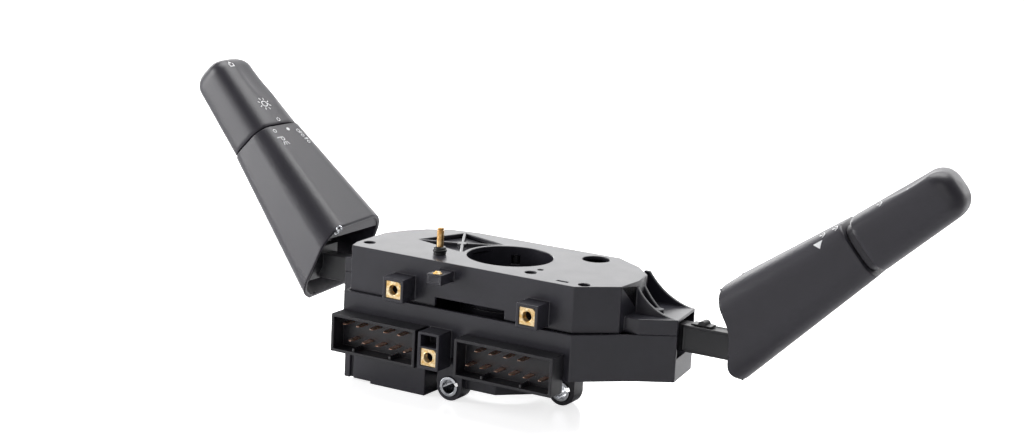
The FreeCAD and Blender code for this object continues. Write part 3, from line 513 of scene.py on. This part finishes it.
def cutter(points, y_span):
    """Prism along Y on an outline in x and z, in mm, for trimming."""
    y0, y1 = y_span
    work = bmesh.new()
    loop = [work.verts.new((x * MM, y0 * MM, z * MM)) for x, z in points]
    face = work.faces.new(loop)
    grown = bmesh.ops.extrude_face_region(work, geom=[face])
    moved = [v for v in grown["geom"] if isinstance(v, bmesh.types.BMVert)]
    bmesh.ops.translate(work, verts=moved, vec=(0, (y1 - y0) * MM, 0))
    bmesh.ops.recalc_face_normals(work, faces=work.faces)
    mesh = bpy.data.meshes.new("cutter")
    work.to_mesh(mesh)
    work.free()
    tool = bpy.data.objects.new("cutter", mesh)
    bpy.context.collection.objects.link(tool)
    return tool


def softened(points):
    """Outline with its corners cut off, and the new corners again, which rounds them."""
    give, keep = CORNER_SHARE, 1 - CORNER_SHARE
    for _ in range(CORNER_CUTS):
        rounded = []
        for (x0, z0), (x1, z1) in zip(points, points[1:] + points[:1]):
            rounded.append((x0 * keep + x1 * give, z0 * keep + z1 * give))
            rounded.append((x0 * give + x1 * keep, z0 * give + z1 * keep))
        points = tuple(rounded)
    return points


def trimmed(skin, tool):
    """Takes the tool away from a skin, ahead of its rounded edges."""
    cut = skin.modifiers.new("trim", "BOOLEAN")
    cut.operation = "DIFFERENCE"
    cut.solver = "EXACT"
    cut.object = tool
    bpy.context.view_layer.objects.active = skin
    bpy.ops.object.modifier_move_to_index(modifier="trim", index=0)
    bpy.ops.object.modifier_apply(modifier="trim")
    bpy.data.objects.remove(tool)


def trim_right_lever(skins, mats):
    """The real lever's mouth has a soft S edge, with the arm bare in front of it."""
    trimmed(skins["right_lever"], cutter(softened(RIGHT_MOUTH_MM), RIGHT_MOUTH_Y_MM))
    near, far = ARM_BARE_MM
    low, high = ARM_GAP_Z_MM
    gap = ((near, low), (far, low), (far, high), (near, high))
    trimmed(skins["right_arm"], cutter(gap, ARM_GAP_Y_MM))
    bare_arm(mats["arm_plastic"])


# Pieces worked from a plain block

def block(name, middle_mm, size_mm):
    bpy.ops.object.select_all(action="DESELECT")
    bpy.ops.mesh.primitive_cube_add(size=1.0, location=metres(middle_mm))
    made = bpy.context.object
    made.name = name
    made.scale = metres(size_mm)
    bpy.ops.object.transform_apply(location=True, rotation=True, scale=True)
    return made


def pick_faces(made, wanted):
    """Opens a piece for editing with only some of its faces selected."""
    bpy.ops.object.mode_set(mode="EDIT")
    bpy.ops.mesh.select_all(action="DESELECT")
    bpy.ops.object.mode_set(mode="OBJECT")
    for face in made.data.polygons:
        face.select = wanted(face.normal)
    bpy.ops.object.mode_set(mode="EDIT")


def groove(margin_mm, groove_mm, each=False):
    """Sinks the middle of the picked faces, inside a margin and a narrow slope."""
    width, depth = metres(groove_mm)
    bpy.ops.mesh.inset(thickness=margin_mm * MM, use_individual=each)
    bpy.ops.mesh.inset(thickness=width, depth=-depth, use_individual=each)


def soften(made, radius_mm):
    """Leaves editing and rounds the piece's edges."""
    bpy.ops.object.mode_set(mode="OBJECT")
    bpy.context.view_layer.objects.active = made
    edge_bevel(made, radius_mm)
    bpy.ops.object.modifier_apply(modifier="edges")
    bpy.ops.object.shade_smooth_by_angle(angle=SMOOTH_ANGLE)


def bare_arm(finish):
    """Visible bar of the right arm, with panels sunk in its front, back and top."""
    spans = (ARM_BARE_MM, ARM_Y_MM, ARM_Z_MM)
    middle = [(low + high) / 2 for low, high in spans]
    length, depth, height = [high - low for low, high in spans]
    made = block("right_arm_bar", middle, (length + 2 * ARM_LAP_MM, depth, height))
    pick_faces(made, lambda normal: abs(normal.y) > FACING or normal.z > FACING)
    groove(ARM_MARGIN_MM, ARM_GROOVE_MM, each=True)
    soften(made, ARM_EDGE_MM)
    made.data.materials.append(finish)
    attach(made, "right_lever")


def terminal_nib(finish):
    """Bent brass tongue that shows on top of the little terminal socket."""
    made = block("terminal_nib", NIB_AT_MM, NIB_SIZE_MM)
    pick_faces(made, lambda normal: normal.z > FACING)
    bpy.ops.mesh.inset(thickness=NIB_MARGIN_MM * MM)
    bpy.ops.mesh.extrude_region_move(TRANSFORM_OT_translate={"value": metres(NIB_STEP_MM)})
    soften(made, NIB_EDGE_MM)
    made.data.materials.append(finish)
    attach(made, "housing")


def terminal_cover(finish):
    """Recessed front of the little terminal socket."""
    made = block("terminal_cover", COVER_AT_MM, COVER_SIZE_MM)
    pick_faces(made, lambda normal: normal.y < -FACING)
    groove(COVER_MARGIN_MM, COVER_GROOVE_MM)
    soften(made, COVER_EDGE_MM)
    made.data.materials.append(finish)
    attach(made, "housing")


# Round fittings, made of tori

def torus(at_mm, radii_mm, segments, turn_deg=(0, 0, 0)):
    major, minor = metres(radii_mm)
    turn = [math.radians(angle) for angle in turn_deg]
    bpy.ops.mesh.primitive_torus_add(major_radius=major, minor_radius=minor, major_segments=segments[0],
                                     minor_segments=segments[1], location=metres(at_mm), rotation=turn)
    return bpy.context.object


def joined(name, pieces):
    """Makes several pieces one, with its place and size applied."""
    bpy.ops.object.select_all(action="DESELECT")
    for piece in pieces:
        piece.select_set(True)
    bpy.context.view_layer.objects.active = pieces[0]
    bpy.ops.object.join()
    made = bpy.context.object
    made.name = name
    bpy.ops.object.transform_apply(location=True, rotation=True, scale=True)
    return made


def horn_bead(finish):
    """Rounded bead of the collar round the horn pin."""
    made = joined("horn_bead", [torus(BEAD_AT_MM, BEAD_RADII_MM, BEAD_SEGMENTS)])
    bpy.ops.object.shade_smooth()
    made.data.materials.append(finish)
    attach(made, "housing")


def nut_thread(name, at, finish):
    """Countersink ring of a cowl nut and the first turns of its thread."""
    x, y, z = at
    rings = []
    for depth, radius in THREAD_RINGS_MM:
        radii = (radius, THREAD_WIRE_MM)
        rings.append(torus((x, y + depth, z), radii, THREAD_SEGMENTS, THREAD_TURN_DEG))
    made = joined(name, rings)
    bpy.ops.object.shade_smooth()
    made.data.materials.append(finish)
    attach(made, "housing")


def rim_clip(finish):
    """Bright wire clip at the rim of the left lever, made of two small loops."""
    loops = []
    for side in (-1, 1):
        at = [value + side * step for value, step in zip(CLIP_AT_MM, CLIP_STEP_MM)]
        loops.append(torus(at, CLIP_RADII_MM, CLIP_SEGMENTS, CLIP_TURN_DEG))
    made = joined("rim_clip", loops)
    bpy.ops.object.shade_smooth()
    made.data.materials.append(finish)
    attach(made, "left_lever")


def small_fittings(mats):
    terminal_nib(mats["brass"])
    terminal_cover(mats["housing"])
    horn_bead(mats["black_plastic"])
    for name, at in NUT_FACE_MM.items():
        nut_thread(name, at, mats["brass"])
    rim_clip(mats["plated_steel"])


# Printed marks on the stalks, drawn flat in mm and then laid on the surface

def disc(x, y, radius):
    bpy.ops.mesh.primitive_circle_add(vertices=24, radius=radius * MM, fill_type="NGON",
                                      location=(x * MM, y * MM, 0))
    return bpy.context.object


def ring(x, y, radius, width):
    """Ring made from a circle whose rim is extruded inwards."""
    bpy.ops.mesh.primitive_circle_add(vertices=28, radius=radius * MM, location=(x * MM, y * MM, 0))
    made = bpy.context.object
    bpy.ops.object.mode_set(mode="EDIT")
    bpy.ops.mesh.select_all(action="SELECT")
    bpy.ops.mesh.extrude_edges_move()
    inner = 1 - width / radius
    bpy.ops.transform.resize(value=(inner, inner, inner))
    bpy.ops.object.mode_set(mode="OBJECT")
    return made


def bar(x, y, length, width, degrees=0.0):
    bpy.ops.mesh.primitive_plane_add(size=1.0, location=(x * MM, y * MM, 0),
                                     rotation=(0, 0, math.radians(degrees)))
    made = bpy.context.object
    made.scale = (length * MM, width * MM, 1.0)
    return made


def triangle(x, y, radius, degrees):
    bpy.ops.mesh.primitive_circle_add(vertices=3, radius=radius * MM, fill_type="NGON",
                                      location=(x * MM, y * MM, 0), rotation=(0, 0, math.radians(degrees)))
    return bpy.context.object


def small_ring():
    return [ring(0, 0, 1.25, 0.4)]


def lamp_mark():
    """Generic lamp: a globe on its cap, with rays all round."""
    parts = [ring(0, 0, 2.1, 0.55), bar(-0.35, -2.3, 1.0, 1.1)]
    for i in range(8):
        degrees = 45 * i + 20
        turn = math.radians(degrees)
        parts.append(bar(3.7 * math.cos(turn), 3.7 * math.sin(turn), 1.5, 0.55, degrees))
    return parts


def position_light_mark():
    """Generic position-light sign: a stem with a lamp and three rays."""
    parts = [bar(-1.3, -0.7, 4.8, 0.55, 90), ring(-0.1, 0.6, 1.4, 0.55)]
    for lift, tilt in ((-1.0, -24), (0.6, 0), (2.2, 24)):
        parts.append(bar(3.1, lift, 2.4, 0.5, tilt))
    return parts


def beam_mark():
    """A lamp with three beams."""
    parts = [ring(0, 0, 1.1, 0.42)]
    for lift in (-0.9, 0, 0.9):
        parts.append(bar(-2.3, lift, 1.4, 0.4, 14))
    return parts


def fog_mark():
    """Beams crossed by a bar."""
    return beam_mark() + [bar(-2.3, 0, 0.4, 3.0)]


def wiper_mark():
    """Screen outline as a fan of short bars over a pivot dot."""
    parts = [disc(0, -1.3, 0.45), bar(0.4, 0.0, 0.4, 2.4, -20)]
    for i in range(7):
        turn = math.radians(30 + 20 * i)
        parts.append(bar(2.4 * math.cos(turn), -1.3 + 2.4 * math.sin(turn), 0.8, 0.36, 20 * i - 60))
    return parts


def push_mark():
    """Open box with a pointer, for the push switch in the tip."""
    box = [bar(-1.2, 0, 0.55, 3.3), bar(0, 1.4, 2.4, 0.55), bar(0, -1.4, 2.4, 0.55)]
    return box + [triangle(2.0, 0, 1.3, -90)]


def stalk_frame(stalk):
    """Base point, axis, sideways and upward directions of a stalk."""
    base, sweep, rise, side = stalk
    s, e = math.radians(sweep), math.radians(rise)
    axis = Vector((side * math.cos(e) * math.cos(s), math.cos(e) * math.sin(s), math.sin(e)))
    across = Vector((-side * math.sin(s), math.cos(s), 0))
    up = axis.cross(across)
    if up.z < 0:
        up.negate()
    return Vector(base) * MM, axis, across, up


def printed(name, parts, stalk, skin, body, along, offset, face, turn, finish):
    """Joins flat pieces into one mark, sets it down on the stalk and wraps it to the surface."""
    base, axis, across, up = stalk_frame(stalk)
    out, beside = (up, across) if face == "top" else (-across, up)
    start = base + axis * along * MM + beside * offset * MM + out * RAY_START_MM * MM
    hit, place, normal, _ = skin.ray_cast(start, -out)
    if not hit:
        raise RuntimeError("no surface under the mark " + name)
    mark = joined(name, parts)
    bpy.ops.object.mode_set(mode="EDIT")
    bpy.ops.mesh.select_all(action="SELECT")
    bpy.ops.mesh.quads_convert_to_tris()
    bpy.ops.mesh.subdivide(number_cuts=INK_CUTS)
    bpy.ops.object.mode_set(mode="OBJECT")
    along_face = (axis - normal * axis.dot(normal)).normalized()
    turned = Matrix((along_face, normal.cross(along_face), normal)).transposed().to_4x4()
    spin = Matrix.Rotation(math.radians(turn), 4, "Z")
    mark.data.transform(Matrix.Translation(place + normal * MM) @ turned @ spin)
    wrap = mark.modifiers.new("wrap", "SHRINKWRAP")
    wrap.target = skin
    wrap.wrap_method = "NEAREST_SURFACEPOINT"
    wrap.wrap_mode = "ABOVE_SURFACE"
    wrap.offset = INK_LIFT_MM * MM
    bpy.ops.object.modifier_apply(modifier="wrap")
    layer = mark.modifiers.new("thickness", "SOLIDIFY")
    layer.thickness = INK_THICK_MM * MM
    layer.offset = -1
    bpy.ops.object.modifier_apply(modifier="thickness")
    mark.data.materials.clear()
    mark.data.materials.append(finish)
    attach(mark, body)


def stalk_marks(skins, white):
    """Each row: name, drawing, part, distance along, offset sideways or upwards, face, turn."""
    left = (("left_lamp_mark", lamp_mark(), "left_knob", 101.5, -1.7, "top", 0),
            ("left_upper_ring_mark", small_ring(), "left_knob", 89.9, 0.1, "top", 0),
            ("left_lower_ring_mark", small_ring(), "left_lever", 82.6, -9.0, "top", 0),
            ("left_pointer_dot", [disc(0, 0, 1.1)], "left_lever", 82.4, 1.6, "top", 0),
            ("left_position_light_mark", position_light_mark(), "left_lever", 76.6, -8.2, "top", 180),
            ("left_rear_ring_mark", small_ring(), "left_lever", 80.3, 8.2, "top", 0),
            ("left_beam_mark", beam_mark(), "left_lever", 76.6, 8.8, "top", 180),
            ("left_fog_mark", fog_mark(), "left_lever", 71.8, 9.6, "top", 180),
            ("left_push_mark", push_mark(), "left_knob", 130.8, -4.6, "top", 0))
    right = (("right_pointer_triangle", [triangle(0, 0, 2.9, 180)], "right_lever", 69.9, 12.8, "front", 0),
             ("right_wiper_mark", wiper_mark(), "right_lever", 73.0, -13.0, "top", -90),
             ("right_washer_mark", wiper_mark(), "right_lever", 80.0, -12.6, "top", -90),
             ("right_interval_mark", wiper_mark(), "right_knob", 104.0, -10.6, "top", -90),
             ("right_speed_bar_mark", [bar(0, 0, 4.0, 0.6, 90)], "right_knob", 119.0, -9.6, "top", 0))
    for stalk, marks in ((LEFT_STALK, left), (RIGHT_STALK, right)):
        for name, drawing, part, along, offset, face, turn in marks:
            printed(name, drawing, stalk, skins[part], part, along, offset, face, turn, white)


# Blades

def taper_tips(skin):
    """Draws in the last millimetre of every blade, as a stamped terminal has."""
    work = bmesh.new()
    work.from_mesh(skin.data)
    tip = min(v.co.y for v in work.verts)
    everything = work.verts[:] + work.edges[:] + work.faces[:]
    bmesh.ops.bisect_plane(work, geom=everything, dist=0.001 * MM, plane_co=(0, tip + TIP_RUN_MM * MM, 0),
                           plane_no=(0, 1, 0))
    for face in work.faces:
        if face.normal.y < -FACING and max(v.co.y for v in face.verts) < tip + TIP_SLACK_MM * MM:
            middle = face.calc_center_median()
            for v in face.verts:
                v.co.x = middle.x + (v.co.x - middle.x) * TIP_WIDTH_LEFT
                v.co.z = middle.z + (v.co.z - middle.z) * TIP_THICK_LEFT
    work.to_mesh(skin.data)
    work.free()


# Stage

def stage():
    """White floor that glows a little for the camera, without lighting the part."""
    bpy.ops.mesh.primitive_plane_add(size=FLOOR_SIZE, location=(0, 0, FLOOR_Z))
    floor = bpy.context.object
    floor.name = "studio_floor"
    mat, tree = blank("white acrylic sheet")
    seen = add(tree, "ShaderNodeLightPath").outputs["Is Camera Ray"]
    gloss = add(tree, "ShaderNodeBsdfPrincipled", {"Base Color": linear("#f2f2f4"), "Roughness": 0.16})
    glow = add(tree, "ShaderNodeEmission", {"Color": linear("#ffffff"), "Strength": FLOOR_GLOW})
    both = add(tree, "ShaderNodeAddShader")
    tree.links.new(gloss.outputs["BSDF"], both.inputs[0])
    tree.links.new(glow.outputs["Emission"], both.inputs[1])
    pick = add(tree, "ShaderNodeMixShader", links={"Fac": seen})
    tree.links.new(gloss.outputs["BSDF"], pick.inputs[1])
    tree.links.new(both.outputs["Shader"], pick.inputs[2])
    add(tree, "ShaderNodeOutputMaterial", links={"Surface": pick.outputs["Shader"]})
    floor.data.materials.append(mat)


def lamp(name, at, aim, size, watts):
    data = bpy.data.lights.new(name, "AREA")
    data.shape = "RECTANGLE"
    data.size, data.size_y = size
    data.energy = watts
    thing = bpy.data.objects.new(name, data)
    thing.location = at
    thing.rotation_euler = (Vector(aim) - Vector(at)).to_track_quat("-Z", "Y").to_euler()
    bpy.context.collection.objects.link(thing)


def math_node(tree, operation, first, second):
    """Math node on two sockets."""
    made = add(tree, "ShaderNodeMath", {"operation": operation})
    tree.links.new(first, made.inputs[0])
    tree.links.new(second, made.inputs[1])
    return made.outputs[0]


def share_of(tree, value, share):
    """Math node that gives a fixed share of a socket."""
    made = add(tree, "ShaderNodeMath", {"operation": "MULTIPLY"})
    tree.links.new(value, made.inputs[0])
    made.inputs[1].default_value = share
    return made.outputs[0]


def light():
    """White room for glossy reflections, dimmer for matte light, and the softboxes."""
    world = bpy.data.worlds.new("studio")
    bpy.context.scene.world = world
    world.use_nodes = True
    tree = world.node_tree
    tree.nodes.clear()
    path = add(tree, "ShaderNodeLightPath")
    heading = add(tree, "ShaderNodeTexCoord").outputs["Generated"]
    facing = add(tree, "ShaderNodeSeparateXYZ", links={"Vector": heading})
    # white backdrop near the horizon, darker studio ceiling above it
    ceiling = spread(tree, facing.outputs["Z"], (0.28, 0.62), (1.0, 0.3))
    # dark flag on the right, as the end faces there are dim
    flag = spread(tree, facing.outputs["X"], (0.3, 0.75), (1.0, 0.35))
    room = math_node(tree, "MULTIPLY", ceiling, flag)
    glossy = add(tree, "ShaderNodeMix", {"data_type": "FLOAT"})
    tree.links.new(path.outputs["Is Glossy Ray"], glossy.inputs[0])
    tree.links.new(share_of(tree, room, MATTE_SHARE), glossy.inputs[2])
    tree.links.new(room, glossy.inputs[3])
    shown = math_node(tree, "MAXIMUM", glossy.outputs[0], path.outputs["Is Camera Ray"])
    sky = add(tree, "ShaderNodeBackground", {"Color": linear("#ffffff")}, {"Strength": shown})
    add(tree, "ShaderNodeOutputWorld", links={"Surface": sky.outputs["Background"]})
    for softbox in SOFTBOXES:
        lamp(*softbox)


def camera():
    data = bpy.data.cameras.new("photo camera")
    data.lens = LENS_MM
    data.sensor_width = SENSOR_MM
    data.sensor_fit = "HORIZONTAL"
    data.clip_start = CLIP_START
    thing = bpy.data.objects.new("photo camera", data)
    bpy.context.collection.objects.link(thing)
    turn = Matrix((CAMERA_RIGHT, CAMERA_UP, CAMERA_BACK)).transposed().to_4x4()
    thing.matrix_world = Matrix.Translation(CAMERA_AT) @ turn
    bpy.context.scene.camera = thing


def main():
    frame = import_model()
    bpy.ops.object.select_all(action="DESELECT")
    bpy.context.scene.view_settings.view_transform = "Standard"
    mats = finishes()
    skins = dress_all(frame, mats)
    trim_right_lever(skins, mats)
    small_fittings(mats)
    skins["left_knob"] = end_knob("left_knob", LEFT_STALK, LEFT_NECK_MM, LEFT_SCOOP_ACROSS_MM,
                                  "left_knob", mats["stalk_plastic"])
    skins["right_knob"] = end_knob("right_knob", RIGHT_STALK, RIGHT_NECK_MM, RIGHT_SCOOP_ACROSS_MM,
                                   "right_knob", mats["stalk_plastic"])
    taper_tips(skins["left_blades"])
    taper_tips(skins["right_blades"])
    bpy.context.view_layer.update()
    stalk_marks(skins, mats["ink"])
    stage()
    light()
    camera()
    bpy.context.view_layer.update()


main()
